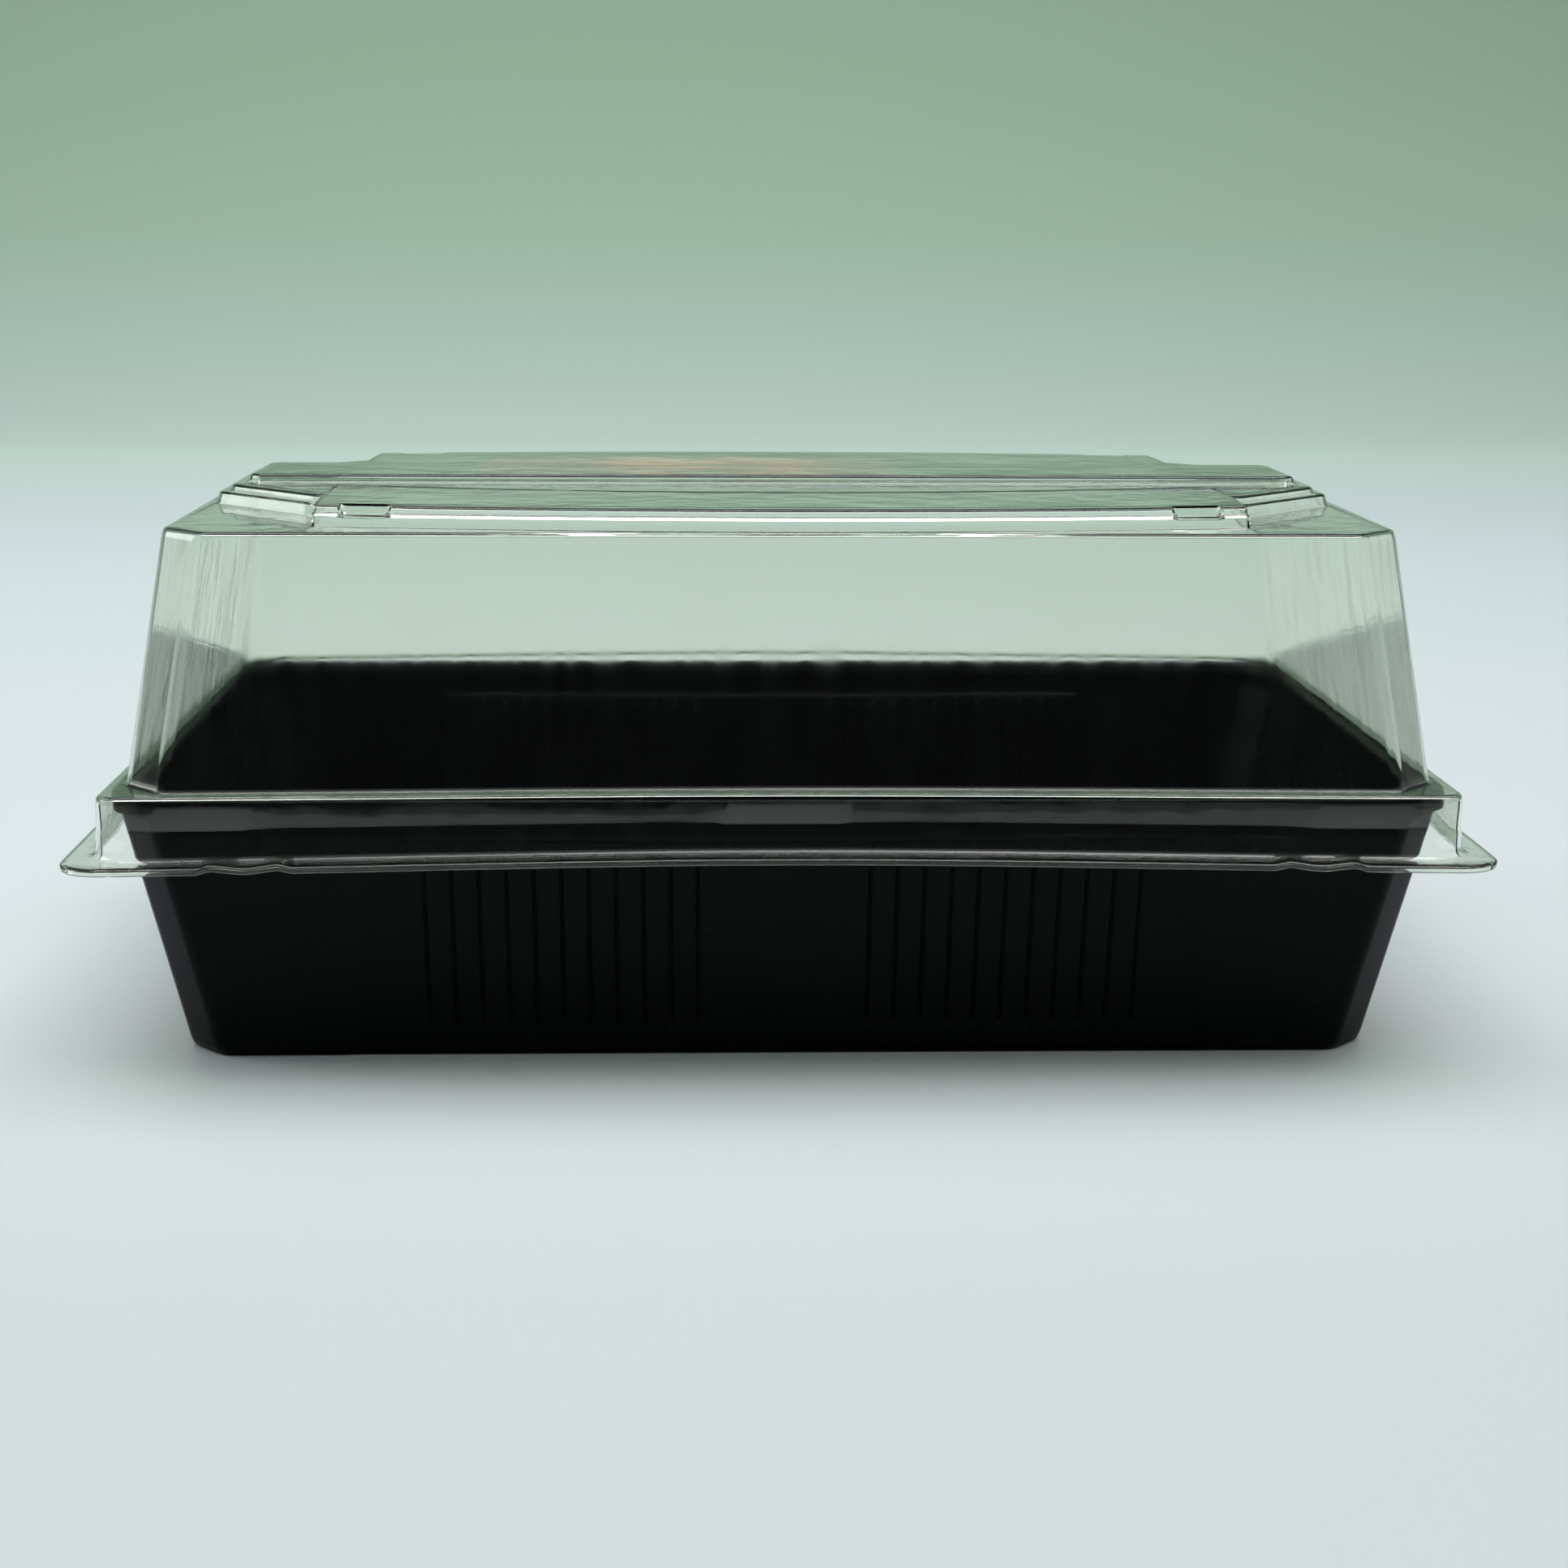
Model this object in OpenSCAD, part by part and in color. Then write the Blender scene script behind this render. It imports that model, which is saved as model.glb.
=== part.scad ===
/* [Overall] */
// Length of the dome over its lip, along X
lip_l = 203; // [165:1:250]
// Width of the dome over its lip, along Y
lip_w = 129; // [112:1:160]
// Height of the tray, from the ground to the top of its flange
tray_h = 40.15; // [30:0.05:60]
// Height of the sloping dome walls, from ledge to first edge
wall_h = 36; // [24:0.5:60]

/* [Tray] */
// Wall thickness of the tray
tray_t = 0.6; // [0.4:0.05:0.8]
// How far each tray wall leans out per millimetre of height
tray_draft = 0.194; // [0.1:0.002:0.22]
// Height of the turned-down edge of the tray flange
flange_drop = 2.6; // [2:0.1:3.5]
// Width of the flange bead beyond the wall
flange_w = 1.2; // [0.9:0.05:2]
// Width of the flat top of the flange
flange_flat = 0.9; // [0.6:0.05:1.2]
// Size of the 45 degree corner facets of the tray
tray_facet = 5.4; // [4:0.1:8]
// Height of the ring that the tray stands on
foot_h = 0.8; // [0.5:0.1:1.5]
// Width of the ring that the tray stands on
foot_w = 4.2; // [3:0.1:7]

/* [Tray panels] */
// Plain corner panel beside the recessed front panel
corner_panel_w = 35.8; // [30:0.2:42]
// Depth of the recessed front and back panels
panel_d = 0.6; // [0.3:0.05:0.9]
// Distance from the flange top down to the panels
panel_top_gap = 5.4; // [5:0.1:8]
// Distance between two grooves
rib_pitch = 3.9; // [3.2:0.1:5]
// Width of one groove
rib_w = 1.7; // [1:0.1:2.4]
// Depth of one groove
rib_d = 0.7; // [0.3:0.05:0.9]
// Half width of the plain panel between the two groups of grooves
rib_gap = 11.5; // [8:0.5:16]
// Height above the ground at which the grooves start
rib_foot = 4; // [3:0.5:8]

/* [Dome] */
// Wall thickness of the dome
dome_t = 0.45; // [0.3:0.05:0.6]
// Width of the flat outer lip
lip_width = 4.2; // [3:0.1:6]
// Corner radius of the outer lip
lip_r = 6.5; // [5:0.5:16]
// Turned-down rim of the lip
lip_rim = 1; // [0.6:0.1:1.6]
// Height of the snap skirt, from lip to ledge
skirt_h = 9; // [7:0.1:10]
// Width of the ledge that rests on the flange
ledge_w = 2.9; // [2.4:0.1:4]
// Corner radius of the ledge
ledge_r = 3; // [2:0.5:8]
// How far the dome walls lean in over their height
wall_lean = 5.6; // [3:0.1:9]
// Size of the 45 degree corner facets of the dome
dome_facet = 5.9; // [4:0.1:8]
// Depth of the snap beads on the skirt
bead_d = 0.25; // [0.1:0.05:0.3]

/* [Dome top] */
// Width of the level border round the raised top
border_w = 1; // [0.8:0.1:1.6]
// Height of the first step of the top
step1_h = 1.9; // [1.2:0.1:3]
// Height of the second step of the top
step2_h = 1; // [0.6:0.1:2]
// Height of the raised bar above the second step
bar_h = 1.3; // [0.8:0.1:2.5]
// Width of the raised bar, along Y
bar_w = 20.8; // [14:0.2:23]
// Bow of the front and back edges of the raised top
top_bow = 4; // [1:0.5:8]
// Distance from the end of the first edge to the middle of a notch
notch_in = 28.3; // [27.8:0.1:32]
// Width of a notch floor
notch_w = 5.8; // [4:0.2:7]
// Width of the post beside each notch
post_w = 3.6; // [3:0.2:4.2]
// Size of the swept corners of the raised top
sweep = 16; // [13:0.2:16.6]

/* [Label] */
// Length of the label, along X
label_l = 66; // [40:1:100]
// Thickness of the label film
label_t = 0.15; // [0.1:0.05:0.3]
// How far the label runs behind the bar
label_tail = 20; // [8:1:26]
// Distance of the label from the middle of the dome
label_x = -14; // [-20:1:20]

/* [Fits] */
// Clearance between the flange edge and the snap skirt
snap_clear = 0.5; // [0.4:0.05:0.8]
// Clearance between the flange top and the ledge
seat_clear = 0.1; // [0.05:0.05:0.2]

/* [Hidden] */
corner_steps = 3;
rib_margin = 6;

// Heights of the dome, from the ground
ledge_z = tray_h + seat_clear + dome_t;
lip_z = ledge_z - skirt_h;
edge_z = ledge_z + wall_h;
step1_z = edge_z + step1_h;
step2_z = step1_z + step2_h;
bar_z = step2_z + bar_h;

// Half sizes of the dome, as [along X, along Y]
lip_half = [lip_l, lip_w] / 2;
skirt_half = lip_half - [1, 1] * lip_width;
ledge_half = skirt_half - [1, 1] * 0.8;
foot_half = ledge_half - [1, 1] * ledge_w;
edge_half = foot_half - [1, 1] * wall_lean;
border_half = edge_half - [1, 1] * border_w;

// Half sizes of the tray
flange_half = ledge_half - [1, 1] * (dome_t + snap_clear);
wall_half = flange_half - [1, 1] * flange_w;
panel_z = tray_h - panel_top_gap;
base_z = tray_h - flange_drop;

// Stations along the front and back of the dome, measured from the middle
notch_x = edge_half.x - notch_in;
notch_edge = 0.8;
post_side = 0.6;
tab_w = 13;
tab_end = lip_half.x - 20;
bead_l = 15;
bead_end = lip_half.x - 12.4;
bead_mid = 8;
tab_h = 0.9;

// Raised top: its inset from the border, how far its middle and posts stand out, and how
// far its steps and rim run in from each end before the bar starts
top_in = [1.3, 20.2];
top_reach = 19.2;
end_in = 3.7;

function lerp(a, b, t) = a + (b - a) * t;
function ramp(x, a, b) = min(1, max(0, (x - a) / (b - a)));
function hump(x, a, b, e) = min(ramp(x, a, a + e), 1 - ramp(x, b - e, b));

// Corner from the long side to the short side: rnd 0 is a straight facet, 1 a full arc
function corner(half, c, rnd, steps) = [for (i = [0 : steps])
    let (t = i / steps, w = 90 * t)
    lerp([half.x - c * (1 - t), half.y - c * t],
         [half.x - c + c * sin(w), half.y - c + c * cos(w)], rnd)];

function reversed(p) = [for (i = [len(p) - 1 : -1 : 0]) p[i]];
flat = function(x) 0;

// One closed ring: [points, keys]. xs holds the positive stations of the long sides; grow
// and rise give how far the long side stands out and how much higher it is at a station.
// A key grows round the ring, so that rings with different stations can be joined.
function ring(half, z, c, rnd, xs, grow, rise) =
    let (side = [for (x = xs) [x, half.y + grow(x), z + rise(x)]],
         bend = [for (q = corner(half, c, rnd, corner_steps)) [q.x, q.y, z]],
         right = concat(side, bend),
         n = len(xs),
         m = len(right),
         across = half.x - c,
         quarter = concat([for (x = xs) x / across / 2], [for (i = [0 : corner_steps]) 0.5 + 0.1 * i]))
    [concat(
        [for (q = right) [q.x, -q.y, q.z]],
        [[half.x, 0, z]],
        [for (q = reversed(right)) q],
        [for (i = [1 : m - 1]) [-right[i].x, right[i].y, right[i].z]],
        [[-half.x, 0, z]],
        [for (i = [m - 1 : -1 : 1]) [-right[i].x, -right[i].y, right[i].z]]),
     concat(
        quarter, [1],
        [for (k = reversed(quarter)) 2 - k],
        [for (i = [1 : m - 1]) 2 + quarter[i]], [3],
        [for (i = [m - 1 : -1 : 1]) 4 - quarter[i]])];

function total(v, n) = n < 0 ? 0 : v[n] + total(v, n - 1);

function next_key(k, i) = i + 1 < len(k) ? k[i + 1] : i < len(k) ? 4 : 5;

// Triangles between two rings; a0 and b0 are the numbers of their first points
function strip(ka, kb, a0, b0) =
    let (na = len(ka), nb = len(kb))
    [for (i = 0, j = 0, go = next_key(ka, 0) <= next_key(kb, 0);
          i + j < na + nb;
          i = go ? i + 1 : i, j = go ? j : j + 1, go = next_key(ka, i) <= next_key(kb, j))
        go ? [a0 + i % na, b0 + j % nb, a0 + (i + 1) % na]
           : [a0 + i % na, b0 + j % nb, b0 + (j + 1) % nb]];

// Closed skin through a list of rings, with a fan over each end
module skin(rings) {
    m = len(rings);
    sizes = [for (r = rings) len(r[0])];
    starts = [for (j = [0 : m]) total(sizes, j - 1)];
    middle = [for (r = [rings[0], rings[m - 1]]) [0, 0, r[0][0].z]];
    points = concat([for (r = rings) each r[0]], middle);
    sides = [for (j = [0 : m - 2])
        each strip(rings[j][1], rings[j + 1][1], starts[j], starts[j + 1])];
    low = [for (i = [0 : sizes[0] - 1]) [i, (i + 1) % sizes[0], starts[m]]];
    high = [for (i = [0 : sizes[m - 1] - 1])
        [starts[m - 1] + (i + 1) % sizes[m - 1], starts[m - 1] + i, starts[m] + 1]];
    polyhedron(points, concat(low, sides, high), convexity = 12);
}

// Stations that place a groove's two edges and its middle
panel_x = wall_half.x - corner_panel_w;
rib_span = panel_x - rib_margin - rib_gap;
rib_count = floor((rib_span - rib_w) / rib_pitch) + 1;
rib_x = [for (i = [0 : rib_count - 1]) rib_gap + rib_w / 2 + i * rib_pitch];
tray_xs = [0, panel_x - 0.4, panel_x + 0.4];
rib_xs = concat([0], [for (x = rib_x) each [x - rib_w / 2, x, x + rib_w / 2]],
                [panel_x - 0.4, panel_x + 0.4]);

function rib_at(x) = max([for (c = rib_x) max(0, 1 - abs(x - c) / (rib_w / 2))]);

// One tray ring at a height: inset from the outer wall, and the shares of the panel's and
// of the grooves' depth. A ring whose grooves are undef has no stations for them.
function tray_ring(z, inset, panel = 0, rib = undef, c = tray_facet, rnd = 0.15) =
    let (lean = tray_draft * (base_z - z))
    ring(wall_half - [1, 1] * (lean + inset), z, c, rnd, is_undef(rib) ? tray_xs : rib_xs,
         function(x) -panel * panel_d * (x < panel_x ? 1 : 0)
                     - (is_undef(rib) ? 0 : rib * rib_d * rib_at(x)), flat);

// One ring of the flange, standing out from the top of the wall
function rim_ring(z, out) = tray_ring(z, tray_draft * (z - base_z) - out, c = tray_facet + 0.6, rnd = 0.5);

// Rings of one face of the ribbed wall, from the ground up; t is the inset of that face
function wall_rings(t) = [
    tray_ring(rib_foot - 1.2, t, 1),
    tray_ring(rib_foot, t, 1, 0),
    tray_ring(rib_foot + 1.2, t, 1, 1),
    tray_ring(panel_z - 2.4, t, 1, 1),
    tray_ring(panel_z - 1.4, t, 1, 0),
    tray_ring(panel_z - 0.6, t, 1),
    tray_ring(panel_z, t),
    tray_ring(base_z - 0.4, t)];

module tray() {
    flat_in = flange_w - flange_flat;
    color([0.04, 0.05, 0.06]) skin(concat(
        [tray_ring(foot_h, foot_w + 3.4),
         tray_ring(0, foot_w + 2.4),
         tray_ring(0, 1.6, 1),
         tray_ring(1.2, 0, 1)],
        wall_rings(0),
        [rim_ring(base_z, flange_w - 0.4),
         rim_ring(base_z + 0.5, flange_w),
         rim_ring(tray_h - 0.5, flange_w),
         rim_ring(tray_h, flange_w - 0.3),
         rim_ring(tray_h, flat_in - 0.3),
         rim_ring(tray_h - 1.2, flat_in - 0.9)],
        reversed(wall_rings(tray_t)),
        [tray_ring(1.5, tray_t, 1),
         tray_ring(tray_t, 2, 1),
         tray_ring(tray_t, foot_w + 2),
         tray_ring(foot_h + tray_t, foot_w + 3)]));
}

// Long-side stations of the dome: the lower half with its tabs or beads, the upper half
// with its notches. t moves the steps sideways so that their walls keep a thickness.
function low_xs(ends) = concat([0, bead_mid, bead_mid + 1.5], ends);
function high_xs(across, t) =
    [0, notch_x * 0.4, notch_x * 0.75,
     notch_x - notch_w / 2 - notch_edge - t, notch_x - notch_w / 2 - t,
     notch_x + notch_w / 2 + t, notch_x + notch_w / 2 + notch_edge + t,
     post_end - post_side - t, post_end - t, lerp(post_end, across, 0.4)];

function tab_ends() = [tab_end - tab_w, tab_end - tab_w + 2, tab_end - 2, tab_end];
function bead_ends() = [bead_end - bead_l, bead_end - bead_l + 1.5, bead_end - 1.5, bead_end];

post_end = notch_x + notch_w / 2 + notch_edge + post_w + post_side;

tab_rise = function(x) tab_h * hump(x, tab_end - tab_w, tab_end, 2);
bead_in = function(x) -bead_d * max(1 - ramp(x, bead_mid, bead_mid + 1.5),
                                    hump(x, bead_end - bead_l, bead_end, 1.5));

// Raised top: swept corners, with a bowed middle that stands out as far as the posts
top_half = border_half - top_in;
function bow_out(x, t) = x > post_end - post_side / 2 - t ? 0 :
    top_reach - top_bow * pow(x / notch_x, 2);
function notch_drop(x, depth, t) = -depth *
    hump(x, notch_x - notch_w / 2 - notch_edge - t, notch_x + notch_w / 2 + notch_edge + t, notch_edge);

function lower_ring(half, z, c, ends, grow = flat, rise = flat) =
    ring(half, z, c, 1, low_xs(ends), grow, rise);
function foot_ring(half, z, c) = ring(half, z, c, 0.12, [0, notch_x], flat, flat);
function edge_ring(half, z, c, t) = ring(half, z, c, 0.12, high_xs(half.x - c, t), flat, flat);
function top_ring(inset, z, t, depth) =
    let (half = top_half - [min(inset, end_in + t), inset], c = sweep - 0.586 * inset)
    ring(half, z, c, 0.2, high_xs(half.x - c, t),
         function(x) bow_out(x, t), function(x) notch_drop(x, depth, t));
function bar_ring(inset, z) =
    ring([top_half.x - end_in - 0.6 - inset, bar_w / 2 - inset], z, 1.2, 1, [0, notch_x / 2], flat, flat);

// Rings of one face of the dome, from the lip up; t is the inset of that face
function dome_face(t) =
    let (s = [1, 1] * t, one = [1, 1], r = ledge_r - t, bead_z = base_z - 0.6)
    [
        lower_ring(lip_half - s * 0.6, lip_z - lip_rim, lip_r - t, tab_ends(), flat, tab_rise),
        lower_ring(lip_half - one * 0.3 - s, lip_z - t, lip_r - t, tab_ends(), flat, tab_rise),
        lower_ring(skirt_half - s, lip_z + 0.2 - t, r + 3, tab_ends()),
        lower_ring(lerp(skirt_half, ledge_half, 0.3) - s, bead_z - 2.4, r + 1.2, bead_ends()),
        lower_ring(lerp(skirt_half, ledge_half, 0.4) - s, bead_z - 1.8, r + 1, bead_ends(), bead_in),
        lower_ring(lerp(skirt_half, ledge_half, 0.6) - s, bead_z - 0.6, r + 0.7, bead_ends(), bead_in),
        lower_ring(lerp(skirt_half, ledge_half, 0.7) - s, bead_z, r + 0.5, bead_ends()),
        lower_ring(ledge_half - s, ledge_z - 0.5 - t, r, bead_ends()),
        lower_ring(ledge_half - one * 0.45 - s, ledge_z - t, r - 0.4, bead_ends()),
        foot_ring(foot_half + one * 0.3 - s, ledge_z - t, dome_facet),
        foot_ring(foot_half - one * 0.1 - s, ledge_z + 0.6 - t, dome_facet),
        edge_ring(edge_half + one * 0.1 - s, edge_z - 0.6, dome_facet + 0.5, t),
        edge_ring(edge_half - one * 0.5 - s, edge_z - t, dome_facet + 0.3, t),
        top_ring(-0.4 + t, edge_z + 0.1 - t, t, 0),
        top_ring(0.3 + t, step1_z - t, t, 0.3),
        top_ring(1.5 + t, step1_z + 0.1 - t, t, 0.3),
        top_ring(2 + t, step2_z - t, t, 1.3),
        top_ring(4, step2_z - t, t, 1.3),
        top_ring(4.8, step2_z + 0.1 - t, t, 0),
        bar_ring(t - 0.4, step2_z + 0.1 - t),
        bar_ring(t, bar_z - t)
    ];

module dome() {
    color([0.8, 0.9, 0.88, 0.4]) skin(concat(reversed(dome_face(0)), dome_face(dome_t)));
}

// Film that lies on the bar and runs down behind it onto the raised top
module label() {
    gap = 0.03;
    front = -bar_w / 2 + 1;
    back = bar_w / 2;
    line = [[front, bar_z + gap], [back + 0.15, bar_z + gap], [back + 0.8, step2_z + 0.3 + gap],
            [back + label_tail, step2_z + 0.3 + gap]];
    skin_line = concat(line, [for (i = [len(line) - 1 : -1 : 0]) line[i] + [0, label_t]]);
    color([0.93, 0.75, 0.65, 0.6])
    translate([label_x - label_l / 2, 0, 0]) rotate([90, 0, 90])
    linear_extrude(label_l) polygon(skin_line);
}

tray();
dome();
label();
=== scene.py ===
import math

import bmesh
import bpy
from mathutils import Matrix


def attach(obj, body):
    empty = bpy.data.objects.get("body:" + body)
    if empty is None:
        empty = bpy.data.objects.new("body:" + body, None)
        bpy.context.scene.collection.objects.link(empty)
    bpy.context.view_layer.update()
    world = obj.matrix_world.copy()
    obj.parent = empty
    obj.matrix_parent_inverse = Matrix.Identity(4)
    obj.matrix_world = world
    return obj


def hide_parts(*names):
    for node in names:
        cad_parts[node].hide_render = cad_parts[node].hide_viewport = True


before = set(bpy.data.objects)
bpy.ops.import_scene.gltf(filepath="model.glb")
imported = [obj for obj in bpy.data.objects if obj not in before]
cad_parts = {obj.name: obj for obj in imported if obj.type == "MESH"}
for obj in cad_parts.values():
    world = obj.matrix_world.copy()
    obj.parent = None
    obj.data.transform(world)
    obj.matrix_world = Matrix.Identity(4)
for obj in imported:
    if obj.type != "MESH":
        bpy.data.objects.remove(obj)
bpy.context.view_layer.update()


# ---------------------------------------------------------------------------
# Camera: stands 40 cm in front of the tray and 12 cm above the table, a little
# left of the middle, and looks slightly down on the lid.
# ---------------------------------------------------------------------------
mm = 0.001
turn_right, look_down, lean = math.radians(-2.16), math.radians(12.47), math.radians(0.37)
bpy.ops.object.camera_add(location=(-13.39 * mm, -405.69 * mm, 119.3 * mm))
camera = bpy.context.object
camera.name = "camera"
camera.data.sensor_width = 36
camera.data.lens = 58.29
camera.data.clip_start = 0.01
aim = (Matrix.Rotation(turn_right, 4, "Z") @ Matrix.Rotation(math.pi / 2 - look_down, 4, "X")
       @ Matrix.Rotation(lean, 4, "Z"))
camera.rotation_euler = aim.to_euler()
bpy.context.scene.camera = camera
bpy.context.scene.view_settings.view_transform = "Standard"


# ---------------------------------------------------------------------------
# Table and backdrop: one pale sheet that lies flat under the tray and
# sweeps up behind it in a wide curve. It isn't part of the object. Its colour
# ramp carries painted shade that makes it darker and greener up the sweep,
# and a painted lighter band where the tray's shadow falls on it.
# ---------------------------------------------------------------------------
class Wire:
    """An output of a shader node. Sums and products of wires add their Math nodes."""

    def __init__(self, tree, socket):
        self.tree, self.socket = tree, socket

    def node(self, kind, settings={}, sockets={}, out=0):
        made = self.tree.nodes.new(kind)
        for name, value in settings.items():
            if name == "stops":
                ramp = made.color_ramp
                while len(ramp.elements) < len(value):
                    ramp.elements.new(1)
                for stop, (place, colour) in zip(ramp.elements, value):
                    stop.position, stop.color = place, (*colour, 1)
            else:
                setattr(made, name, value)
        for name, value in sockets.items():
            if isinstance(value, Wire):
                self.tree.links.new(value.socket, made.inputs[name])
            else:
                made.inputs[name].default_value = value
        return Wire(self.tree, made.outputs[out]) if made.outputs else None

    def sum(self, operation, first, second):
        return self.node("ShaderNodeMath", {"operation": operation}, {0: first, 1: second})

    def __add__(self, other):
        return self.sum("ADD", self, other)

    def __radd__(self, other):
        return self.sum("ADD", other, self)

    def __rsub__(self, other):
        return self.sum("SUBTRACT", other, self)

    def __mul__(self, other):
        return self.sum("MULTIPLY", self, other)

    def __truediv__(self, other):
        return self.sum("DIVIDE", self, other)

    def blend(self, first, second):
        """A colour that goes from first to second as this wire goes from 0 to 1."""
        return self.node("ShaderNodeMix", {"data_type": "RGBA"}, {0: self, 6: first, 7: second}, 2)


def finish_named(name):
    """A new empty material, and the place on the piece as its first wire."""
    finish = bpy.data.materials.new(name)
    finish.use_nodes = True
    finish.node_tree.nodes.clear()
    place = finish.node_tree.nodes.new("ShaderNodeTexCoord").outputs["Object"]
    return finish, Wire(finish.node_tree, place)


def start(name, finish):
    """Deselects everything and opens a new empty piece for modelling."""
    bpy.ops.object.select_all(action="DESELECT")
    bpy.ops.mesh.primitive_plane_add(size=1, location=(0, 0, 0))
    piece = bpy.context.object
    piece.name = piece.data.name = name
    piece.data.materials.append(finish)
    bpy.ops.object.mode_set(mode="EDIT")
    bpy.ops.mesh.delete(type="VERT")
    return piece


def pick(where):
    """Selects the points of the open piece whose place passes the test."""
    bpy.ops.mesh.select_all(action="DESELECT")
    mesh = bmesh.from_edit_mesh(bpy.context.object.data)
    for point in mesh.verts:
        point.select_set(bool(where(*point.co)))
    mesh.select_flush(True)
    bmesh.update_edit_mesh(bpy.context.object.data)


paper, place = finish_named("pale_paper")
along = place.node("ShaderNodeSeparateXYZ", {}, {0: place}, 1)
up = place.node("ShaderNodeSeparateXYZ", {}, {0: place}, 2)
ramp_start, ramp_length = 0.6, 3.2
# Painted light and shade: the ramp darkens and greens the sheet up the sweep, and its stop at 0.186,
# right under the tray, is a painted lighter band that lifts the tray's cast shadow.
painted_light_ramp = place.node("ShaderNodeValToRGB", {"stops": [
    (0.12, (0.565, 0.615, 0.63)), (0.145, (0.555, 0.60, 0.615)), (0.186, (0.62, 0.655, 0.69)),
    (0.22, (0.61, 0.64, 0.68)), (0.30, (0.595, 0.655, 0.69)), (0.40, (0.61, 0.69, 0.715)),
    (0.48, (0.67, 0.81, 0.75)), (0.53, (0.64, 0.755, 0.72)), (0.59, (0.56, 0.72, 0.645)),
    (0.63, (0.50, 0.69, 0.555)), (0.70, (0.47, 0.67, 0.50)), (1.0, (0.47, 0.63, 0.48))]},
    {0: (along + up + ramp_start) / ramp_length})
grain = place.node("ShaderNodeTexNoise", {}, {"Vector": place, "Scale": 900.0, "Detail": 3.0})
soft_bump = place.node("ShaderNodeBump", {}, {"Height": grain, "Strength": 0.03, "Distance": 0.0005})
surface = place.node("ShaderNodeBsdfPrincipled", {}, {
    "Base Color": painted_light_ramp, "Roughness": 0.55, "Normal": soft_bump, "Specular IOR Level": 0.25})
place.node("ShaderNodeOutputMaterial", {}, {0: surface})

sheet_wide, sheet_front, sheet_back, sweep_radius = 3.0, -0.9, 1.0, 0.5
sheet_rise = 1.6
backdrop = start("backdrop", paper)
bpy.ops.mesh.primitive_plane_add(size=1)
bpy.ops.transform.resize(value=(2 * sheet_wide, sheet_back - sheet_front, 1))
bpy.ops.transform.translate(value=(0, (sheet_back + sheet_front) / 2, 0))
pick(lambda x, y, z: y > sheet_back - 0.01)
bpy.ops.mesh.spin(steps=16, angle=-math.pi / 2, center=(0, sheet_back, sweep_radius), axis=(1, 0, 0))
bpy.ops.mesh.extrude_region_move(TRANSFORM_OT_translate={"value": (0, 0, sheet_rise)})
bpy.ops.mesh.select_all(action="SELECT")
bpy.ops.mesh.normals_make_consistent(inside=True)
bpy.ops.object.mode_set(mode="OBJECT")
bpy.ops.object.shade_smooth()


# ---------------------------------------------------------------------------
# Studio light: a wide soft panel above and behind the tray, a weaker one to
# its left, and a pale room all round that is brightest behind and overhead.
# ---------------------------------------------------------------------------
def soft_panel(name, place, aim_at, wide, high, power, colour):
    bpy.ops.object.light_add(type="AREA", location=place)
    lamp = bpy.context.object
    lamp.name = name
    lamp.data.shape = "RECTANGLE"
    lamp.data.size, lamp.data.size_y = wide, high
    lamp.data.energy = power
    lamp.data.color = colour
    way = Matrix.Translation(aim_at).translation - lamp.location
    lamp.rotation_euler = way.to_track_quat("-Z", "Y").to_euler()


soft_panel("top_light", (0.05, 0.22, 1.15), (0, 0.05, 0), 1.3, 0.8, 13, (1, 1, 0.99))
soft_panel("left_light", (-0.95, 0.1, 0.55), (0, 0, 0.04), 0.5, 0.6, 2, (0.97, 1, 0.99))
room = bpy.data.worlds.new("room")
bpy.context.scene.world = room
room.use_nodes = True
room.node_tree.nodes.clear()
way = Wire(room.node_tree, room.node_tree.nodes.new("ShaderNodeTexCoord").outputs["Generated"])
behind = way.node("ShaderNodeSeparateXYZ", {}, {0: way}, 1)
above = way.node("ShaderNodeSeparateXYZ", {}, {0: way}, 2)
glow = way.node("ShaderNodeMapRange", {"interpolation_type": "SMOOTHSTEP"}, {
    "Value": above + behind * 0.6, "From Min": -0.1, "From Max": 0.9, "To Min": 0.02, "To Max": 0.75})
air = way.node("ShaderNodeBackground", {}, {0: (0.93, 1.0, 0.98, 1), 1: glow})
way.node("ShaderNodeOutputWorld", {}, {0: air})


# ---------------------------------------------------------------------------
# Tray: a deep rectangular tub, drawn in one go from a 0.6 mm sheet of black
# plastic. Its corners are cut at 45 degrees, its front and back carry a
# recessed panel with grooves that stiffen it, and its edge is rolled over.
# ---------------------------------------------------------------------------
black, place = finish_named("black_sheet_plastic")
cloud = place.node("ShaderNodeTexNoise", {}, {"Vector": place, "Scale": 60.0, "Detail": 4.0})
skin = place.node("ShaderNodeTexNoise", {}, {"Vector": place, "Scale": 1400.0, "Detail": 2.0})
wave = place.node("ShaderNodeTexNoise", {}, {"Vector": place, "Scale": 45.0, "Detail": 1.0})
dull = place.node("ShaderNodeMapRange", {}, {"Value": cloud, "From Min": 0.35, "From Max": 0.7,
                                             "To Min": 0.24, "To Max": 0.34})
bumps = place.node("ShaderNodeBump", {}, {"Height": wave * 0.97 + skin * 0.03, "Strength": 0.3,
                                          "Distance": 0.0008})
surface = place.node("ShaderNodeBsdfPrincipled", {}, {
    "Base Color": cloud.blend((0.0018, 0.0024, 0.0026, 1), (0.0035, 0.0045, 0.005, 1)),
    "Roughness": dull, "Normal": bumps, "Specular IOR Level": 0.06})
place.node("ShaderNodeOutputMaterial", {}, {0: surface})


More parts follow.
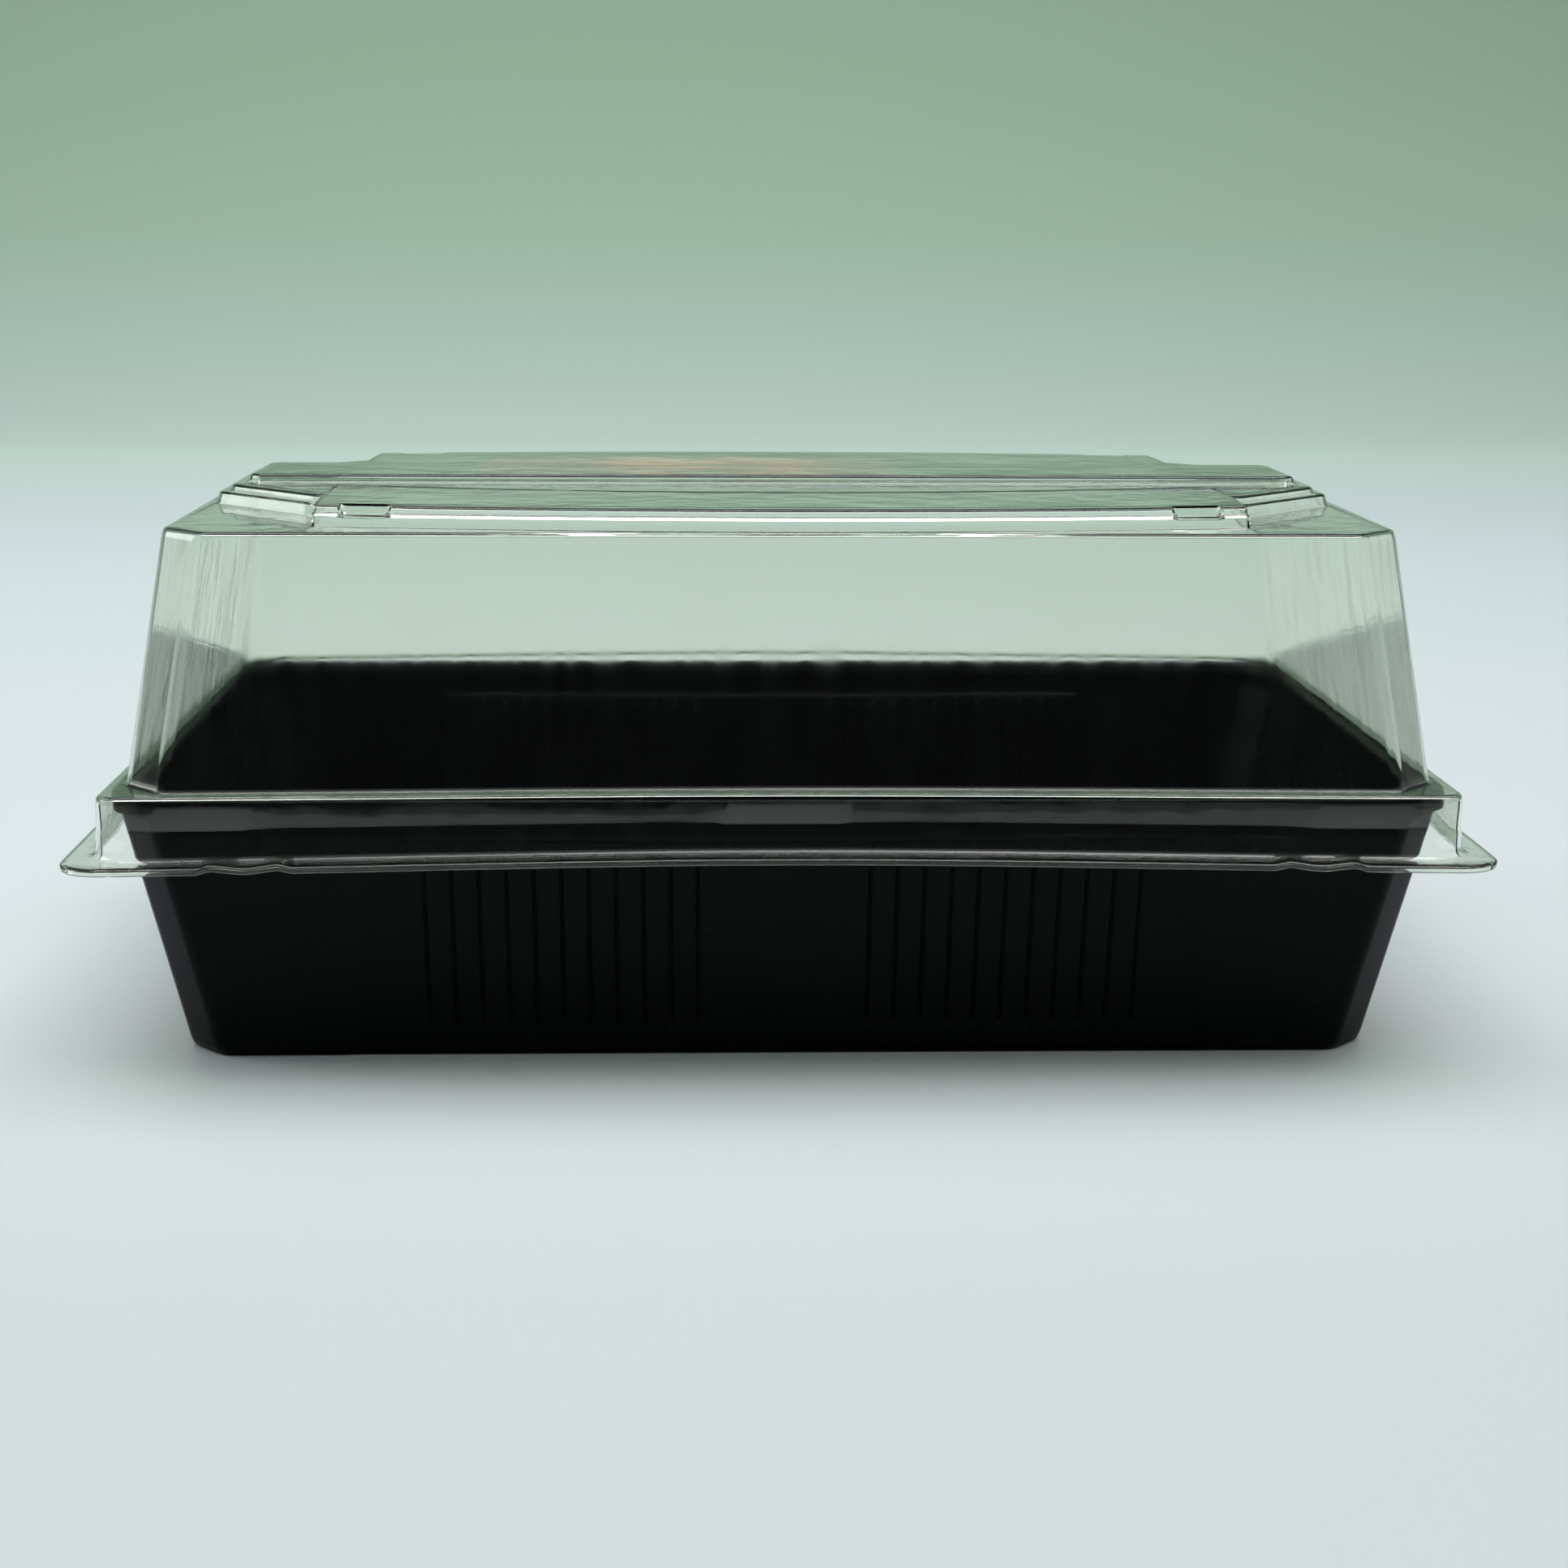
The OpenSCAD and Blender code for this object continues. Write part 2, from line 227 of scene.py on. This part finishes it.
def outline(x, y, z, cut, soft):
    """Adds a rectangle of half sizes x and y with cut, softened corners. Returns its places."""
    bpy.ops.mesh.primitive_plane_add(size=2)
    bpy.ops.transform.resize(value=(x * mm, y * mm, 1), center_override=(0, 0, 0))
    bpy.ops.transform.translate(value=(0, 0, z * mm))
    bpy.ops.mesh.bevel(offset=cut * mm, segments=1, affect="VERTICES", clamp_overlap=False)
    bpy.ops.mesh.bevel(offset=soft * mm, segments=3, profile=0.5, affect="VERTICES", clamp_overlap=False)
    mesh = bmesh.from_edit_mesh(bpy.context.object.data)
    places = {tuple(round(number, 7) for number in point.co) for point in mesh.verts if point.select}
    bpy.ops.mesh.delete(type="ONLY_FACE")
    return places


def loft(outlines):
    """Joins outlines into one sheet. Returns the places of the first and last outline."""
    ends = []
    for sizes in outlines:
        ends.append(outline(*sizes))
        if len(ends) > 1:
            pair = ends[-1] | ends[-2]
            pick(lambda *place: tuple(round(number, 7) for number in place) in pair)
            bpy.ops.mesh.bridge_edge_loops()
    return ends[0], ends[-1]


def cap(edge):
    """Closes the end of a loft with one flat face."""
    pick(lambda *place: tuple(round(number, 7) for number in place) in edge)
    bpy.ops.mesh.edge_face_add()


def cut_at(x, where, slant=0.0):
    """Cuts the faces that pass the test along the upright line through x."""
    mesh = bmesh.from_edit_mesh(bpy.context.object.data)
    bpy.ops.mesh.select_all(action="DESELECT")
    for face in mesh.faces:
        if where(*face.calc_center_median(), *face.normal):
            face.select_set(True)
    bpy.ops.mesh.bisect(plane_co=(x * mm, 0, 0), plane_no=(1, 0, slant))


def shift(where, x=0.0, y=0.0, z=0.0):
    """Moves the points that pass the test."""
    pick(where)
    bpy.ops.transform.translate(value=(x * mm, y * mm, z * mm))


match = 0.03


def near(a, b):
    """Tells whether two heights or places are the same, to a few hundredths of a millimetre."""
    return abs(a - b) < match * mm


lid_long, lid_wide = 203, 129


def settle(piece, low, high, moves):
    """Bends the finished sheet with a lattice: 3 points along, 2 across and 3 up."""
    bpy.ops.object.add(type="LATTICE", location=(0, 0, (low + high) / 2 * mm))
    cage = bpy.context.object
    cage.scale = (lid_long * mm, lid_wide * mm, (high - low) * mm)
    cage.data.points_u, cage.data.points_v, cage.data.points_w = 3, 2, 3
    cage.data.interpolation_type_u = "KEY_CATMULL_ROM"
    cage.data.interpolation_type_w = "KEY_LINEAR"
    for (side, level), rise in moves.items():
        cage.data.points[1 + 3 * side + 6 * level].co_deform.z += rise / (high - low)
    bpy.context.view_layer.objects.active = piece
    bend = piece.modifiers.new("bend", "LATTICE")
    bend.object = cage
    bpy.ops.object.modifier_apply(modifier="bend")
    bpy.data.objects.remove(cage)


def thicken(piece, thickness, offset):
    """Gives the sheet its thickness, inwards for offset -1, and smooth shading."""
    bpy.context.view_layer.objects.active = piece
    wall = piece.modifiers.new("wall", "SOLIDIFY")
    wall.thickness, wall.offset = thickness * mm, offset
    bpy.ops.object.modifier_apply(modifier="wall")
    bpy.ops.object.select_all(action="DESELECT")
    piece.select_set(True)
    bpy.ops.object.shade_smooth_by_angle(angle=math.radians(52))
    even = piece.modifiers.new("even", "WEIGHTED_NORMAL")
    even.keep_sharp = True
    bpy.ops.object.modifier_apply(modifier="even")


tray_film = 0.6
tray_lean = 0.194
foot_x, foot_y = 87.07 - tray_film, 50.07 - tray_film
tray_cut, tray_soft = 5.1, 1.1


def wall_at(z, inset=0.0):
    return (foot_x + tray_lean * z - inset, foot_y + tray_lean * z - inset, z, tray_cut, tray_soft)


tray_rows = [0.9, 1.6, 2.6, 4.0, 4.5, 5.2, 12, 19, 26, 32.3, 32.9, 33.4, 34.15, 34.45, 34.75, 35.6, 36.8]
tray = start("seed_tray", black)
floor_edge = loft(
    [(foot_x - 9, foot_y - 9, 1.4, tray_cut - 3, 0.6),
     (foot_x - 7.4, foot_y - 7.4, 1.35, tray_cut - 2, 0.8),
     (foot_x - 6.9, foot_y - 6.9, 1.15, tray_cut - 1.9, 0.8),
     (foot_x - 6.4, foot_y - 6.4, 0.72, tray_cut - 1.8, 0.9),
     (foot_x - 5.9, foot_y - 5.9, 0.6, tray_cut - 1.7, 0.9),
     (foot_x - 0.8, foot_y - 0.8, 0.63, tray_cut - 0.3, 1.0),
     (foot_x - 0.3, foot_y - 0.3, 0.72, tray_cut - 0.1, 1.0)]
    + [wall_at(z, 0.05 if z < 1 else 0) for z in tray_rows]
    + [(93.55, 56.55, 37.7, 5.2, 1.2),
       (93.75, 56.75, 38.6, 5.3, 1.4),
       (94.1, 57.1, 39.4, 5.4, 1.6),
       (94.55, 57.55, 39.9, 5.5, 1.8),
       (94.95, 57.95, 40.12, 5.6, 1.9),
       (95.25, 58.25, 40.08, 5.7, 2.0),
       (95.47, 58.47, 39.85, 5.8, 2.1),
       (95.55, 58.55, 39.5, 5.9, 2.1),
       (95.55, 58.55, 37.6, 5.9, 2.1)])[0]
cap(floor_edge)

# Cuts for the edges of the recessed panel, and for the 22 grooves in it
panel_foot, panel_slant = 63.44, 0.148
panel_depth, groove_depth = 0.6, 0.7
groove_pitch, first_groove, grooves = 3.9, 12.35, 11
groove_shape = {-0.85: 0.0, -0.45: 0.8, 0.0: 1.0, 0.45: 0.8, 0.85: 0.0}
groove_rows = {4.5: 0.6, 32.9: 0.6, 5.2: 1.0, 12: 1.0, 19: 1.0, 26: 1.0, 32.3: 1.0}
long_side = lambda x, y, z, nx, ny, nz: abs(ny) > 0.9 and z > 0.7 * mm and z < 35 * mm
for side in (-1, 1):
    for edge in (panel_foot, panel_foot - 0.7):
        cut_at(side * edge, long_side, side * panel_slant)
    for number in range(grooves):
        for offset in groove_shape:
            cut_at(side * (first_groove + groove_pitch * number + offset), long_side)


def in_panel(x, y, z):
    """Tells whether a place is within the slanting ends of a recessed panel."""
    return abs(x) < (panel_foot - 0.65) * mm - panel_slant * z and abs(y) > 45 * mm


def groove_place(x):
    """How far a place is from the middle of the nearest groove."""
    step = (abs(x) / mm - first_groove) / groove_pitch
    number = min(max(round(step), 0), grooves - 1)
    return (abs(x) / mm - first_groove) - number * groove_pitch


for side in (-1, 1):
    shift(lambda x, y, z: in_panel(x, y, z) and y * side > 0 and 0.7 * mm < z < 34.3 * mm,
          y=-panel_depth * side)
    shift(lambda x, y, z: in_panel(x, y, z) and y * side > 0 and near(z, 34.45 * mm),
          y=-panel_depth * 0.6 * side)
    for row, share in groove_rows.items():
        for offset, depth in groove_shape.items():
            if depth:
                shift(lambda x, y, z: in_panel(x, y, z) and y * side > 0 and near(z, row * mm)
                      and abs(groove_place(x) - offset) < match, y=-groove_depth * depth * share * side)
bpy.ops.mesh.select_all(action="SELECT")
bpy.ops.mesh.normals_make_consistent(inside=False)
bpy.ops.object.mode_set(mode="OBJECT")
settle(tray, 0, 40.2, {(0, 2): -0.9, (1, 2): -0.5})
thicken(tray, tray_film, -1)
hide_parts("tray")
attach(tray, "tray")


# ---------------------------------------------------------------------------
# Dome lid: one piece of clear 0.45 mm film. A flat lip with finger tabs runs
# round a skirt that presses over the tray's rolled edge, the walls lean in to
# a stepped top with a bowed front and back, and a bar stands up along it.
# ---------------------------------------------------------------------------
clear, place = finish_named("clear_film")
ripple = place.node("ShaderNodeTexNoise", {}, {"Vector": place, "Scale": 55.0, "Detail": 2.0})
drawn = place.node("ShaderNodeMapping", {}, {0: place, "Scale": (260, 260, 18)})
streak = place.node("ShaderNodeTexNoise", {}, {"Vector": drawn, "Scale": 1.0, "Detail": 2.0})
bumps = place.node("ShaderNodeBump", {}, {"Height": ripple * 0.8 + streak * 0.2, "Strength": 0.3,
                                          "Distance": 0.0006})
haze = place.node("ShaderNodeMapRange", {}, {"Value": streak, "From Min": 0.3, "From Max": 0.8,
                                             "To Min": 0.02, "To Max": 0.09})
film = place.node("ShaderNodeBsdfPrincipled", {}, {
    "Base Color": ripple.blend((0.955, 0.985, 0.92, 1), (0.93, 0.965, 0.89, 1)), "Roughness": haze,
    "IOR": 1.5, "Transmission Weight": 1.0, "Normal": bumps})
open_film = place.node("ShaderNodeBsdfTransparent", {}, {0: (0.93, 0.97, 0.92, 1)})
in_shadow = place.node("ShaderNodeLightPath", {}, {}, 1)
surface = place.node("ShaderNodeMixShader", {}, {0: in_shadow, 1: film, 2: open_film})
place.node("ShaderNodeOutputMaterial", {}, {0: surface})

dome_film = 0.45
ledge, wall_rise, wall_lean = 40.7, 36, 5.6
wall_cut, wall_soft = 5.9, 1.2


def skirt(x, z, radius):
    """An outline of the lip and skirt, whose corners are round."""
    return (x, x - 37, z, radius * 0.586, radius * 0.4)


def dome_wall(z):
    """An outline of the sloped walls, which lean in as they rise."""
    inset = (z - ledge) * wall_lean / wall_rise
    return (93.6 - inset, 56.6 - inset, z, wall_cut, wall_soft)


def raised(inset, z):
    """An outline of the raised top, whose corners are swept at 45 degrees."""
    end = min(inset, 3.3 + 0.08 * inset)
    return (85.7 - end, 29.8 - inset, z, 16 - 0.586 * inset, 1.2)


dome = start("dome_lid", clear)
bar_edge = loft(
    [skirt(101.4, 30.7, 6.4), skirt(101.5, 31.1, 6.5), skirt(101.4, 31.45, 6.4), skirt(101.0, 31.7, 6.3),
     skirt(98.4, 31.73, 6.2), skirt(97.7, 31.85, 6), skirt(97.35, 32.4, 5.8), skirt(97.2, 33.2, 5.5),
     skirt(97.05, 34.6, 5), skirt(97.0, 35.15, 4.8), skirt(96.85, 35.75, 4.6), skirt(96.8, 36.35, 4.4),
     skirt(96.75, 36.95, 4.2), skirt(96.55, 39.6, 3.2), skirt(96.4, 40.3, 3), skirt(96.1, 40.6, 2.9),
     skirt(95.7, 40.7, 2.8),
     (94.1, 57.1, 40.73, 5.8, 1.3), (93.75, 56.75, 40.85, 5.85, 1.2), (93.5, 56.5, 41.3, 5.9, 1.2)]
    + [dome_wall(z) for z in (42.5, 48, 54, 60, 66, 72, 75.4)]
    + [(88.05, 51.05, 76.2, 6.1, 1.3), (87.85, 50.85, 76.55, 6.1, 1.3), (87.5, 50.5, 76.7, 6.1, 1.4),
       (86.9, 49.9, 76.73, 6.2, 1.4)]
    + [raised(-0.5, 76.76), raised(-0.25, 76.95), raised(0.1, 78.2), raised(0.3, 78.5), raised(0.6, 78.6),
       raised(1.5, 78.62), raised(1.75, 78.75), raised(2.0, 79.35), raised(2.3, 79.6), raised(3.6, 79.62),
       raised(4.0, 79.59), raised(4.4, 79.66), raised(4.8, 79.68)]
    + [(81.9, 11.6, 79.71, 1.5, 0.5), (81.8, 11.2, 79.84, 1.5, 0.5), (81.7, 10.8, 79.88, 1.4, 0.4),
       (81.45, 10.45, 80.0, 1.3, 0.4), (81.35, 10.3, 80.5, 1.3, 0.4), (81.15, 10.1, 80.8, 1.2, 0.4),
       (80.75, 9.7, 80.9, 1.1, 0.3)])[1]
cap(bar_edge)

# Cuts along the front and back for the bowed top, notches, posts, tabs and beads
bow_stops = [0, 8, 16, 24, 32, 40, 48, 52, 56, 56.4, 56.8, 62.6, 63, 63.4, 67, 67.3, 67.6]
tab_stops = [68.5, 69.5, 70.5, 79.5, 80.5, 81.5]
bead_stops = [9.5, 74.1, 75.6, 87.6, 89.1]
on_top = lambda x, y, z, nx, ny, nz: z > 76 * mm
on_skirt = lambda x, y, z, nx, ny, nz: z < ledge * mm and abs(y) > 56 * mm and abs(x) < 92 * mm
on_wall = lambda x, y, z, nx, ny, nz: (40 * mm < z < 77 * mm and abs(y) > 48 * mm
                                       and abs(x) < 81 * mm)
for side in (-1, 1):
    for stop in bow_stops:
        cut_at(side * stop, on_top)
        if stop in (0, 16, 32, 48, 63):
            cut_at(side * stop, on_wall)
            cut_at(side * stop, on_skirt)
    for stop in (8, *bead_stops, *tab_stops):
        cut_at(side * stop, on_skirt)


def bow(x):
    """How far the long edges of the raised top stand out at x."""
    return 19.2 - 4 * (x / 59.7) ** 2


for side in (-1, 1):
    for stop in bow_stops:
        at = lambda x, y, z: near(abs(x), stop * mm) and y * side > 12.5 * mm and z > 76.745 * mm
        if stop < 67.2:
            shift(at, y=bow(stop) * side)
        elif stop < 67.5:
            shift(at, y=bow(stop) * side * 0.7)
    # The lens on the raised top, as high as a crease in the film
    for stop in bow_stops:
        shift(lambda x, y, z: near(abs(x), stop * mm) and 11 * mm < y * side < 12 * mm and z > 79 * mm,
              y=(13.4 - 14 * (stop / 80) ** 2) * side)
# The notches, cut down from the second step
for level, depth in ((78.6, 0.3), (78.75, 0.45), (79.35, 1.05), (79.6, 1.3)):
    for stop, share in ((56.4, 0.6), (56.8, 1), (62.6, 1), (63, 0.6)):
        shift(lambda x, y, z: near(abs(x), stop * mm) and near(z, level * mm) and abs(y) > 36 * mm,
              z=-depth * share)
# The finger tabs on the lip and the snap beads on the skirt
tab_rise, bead_depth = 0.5, 0.25
for stop, share in ((69.5, 0.6), (70.5, 1), (79.5, 1), (80.5, 0.6)):
    shift(lambda x, y, z: near(abs(x), stop * mm) and z < 31.8 * mm and abs(y) > 60.5 * mm,
          z=tab_rise * share)
for side in (-1, 1):
    for low, high in ((-1, 8.1), (75.5, 87.7)):
        shift(lambda x, y, z: low * mm < abs(x) < high * mm and 35 * mm < z < 36.5 * mm
              and y * side > 50 * mm, y=-bead_depth * side)
bpy.ops.mesh.select_all(action="SELECT")
bpy.ops.mesh.normals_make_consistent(inside=False)
bpy.ops.object.mode_set(mode="OBJECT")
settle(dome, 30.7, 50.7, {(0, 0): 1.5, (0, 1): 0.45, (1, 0): 1.5, (1, 1): 1.3})
thicken(dome, dome_film, -1)
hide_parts("dome")
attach(dome, "lid")


# ---------------------------------------------------------------------------
# Label: a strip of thin clear film with a faint orange print that lies on the
# bar of the lid and runs down behind it, held on by its own glue.
# ---------------------------------------------------------------------------
print_film, place = finish_named("printed_film")
across = place.node("ShaderNodeSeparateXYZ", {}, {0: place}, 0)
bands = place.node("ShaderNodeTexNoise", {}, {
    "Vector": place.node("ShaderNodeMapping", {}, {0: place, "Scale": (60, 420, 1)}),
    "Scale": 1.0, "Detail": 3.0})
ink = place.node("ShaderNodeMapRange", {}, {"Value": bands, "From Min": 0.48, "From Max": 0.6,
                                            "To Min": 0.0, "To Max": 1.0})
from_middle = (across + 0.010) / 0.022
patch = place.sum("MAXIMUM", 1 - from_middle * from_middle, 0.0)
surface = place.node("ShaderNodeBsdfPrincipled", {}, {
    "Base Color": bands.blend((0.80, 0.40, 0.28, 1), (0.92, 0.68, 0.52, 1)),
    "Roughness": 0.3, "Alpha": 0.05 + ink * patch * 0.3})
place.node("ShaderNodeOutputMaterial", {}, {0: surface})

label_low, label_high = -47, 19
label = start("film_label", print_film)
bpy.ops.mesh.primitive_plane_add(size=2)
bpy.ops.transform.resize(value=((label_high - label_low) / 2 * mm, 9.9 * mm, 1))
bpy.ops.transform.translate(value=((label_high + label_low) / 2 * mm, 0.5 * mm, 80.93 * mm))
pick(lambda x, y, z: y > 0)
for y, z in ((0.35, -0.15), (0.3, -0.75), (0.35, -0.1), (19, 0)):
    bpy.ops.mesh.extrude_region_move(TRANSFORM_OT_translate={"value": (0, y * mm, z * mm)})
bpy.ops.mesh.select_all(action="SELECT")
bpy.ops.mesh.normals_make_consistent(inside=False)
bpy.ops.object.mode_set(mode="OBJECT")
thicken(label, 0.13, 1)
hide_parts("label")
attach(label, "lid")
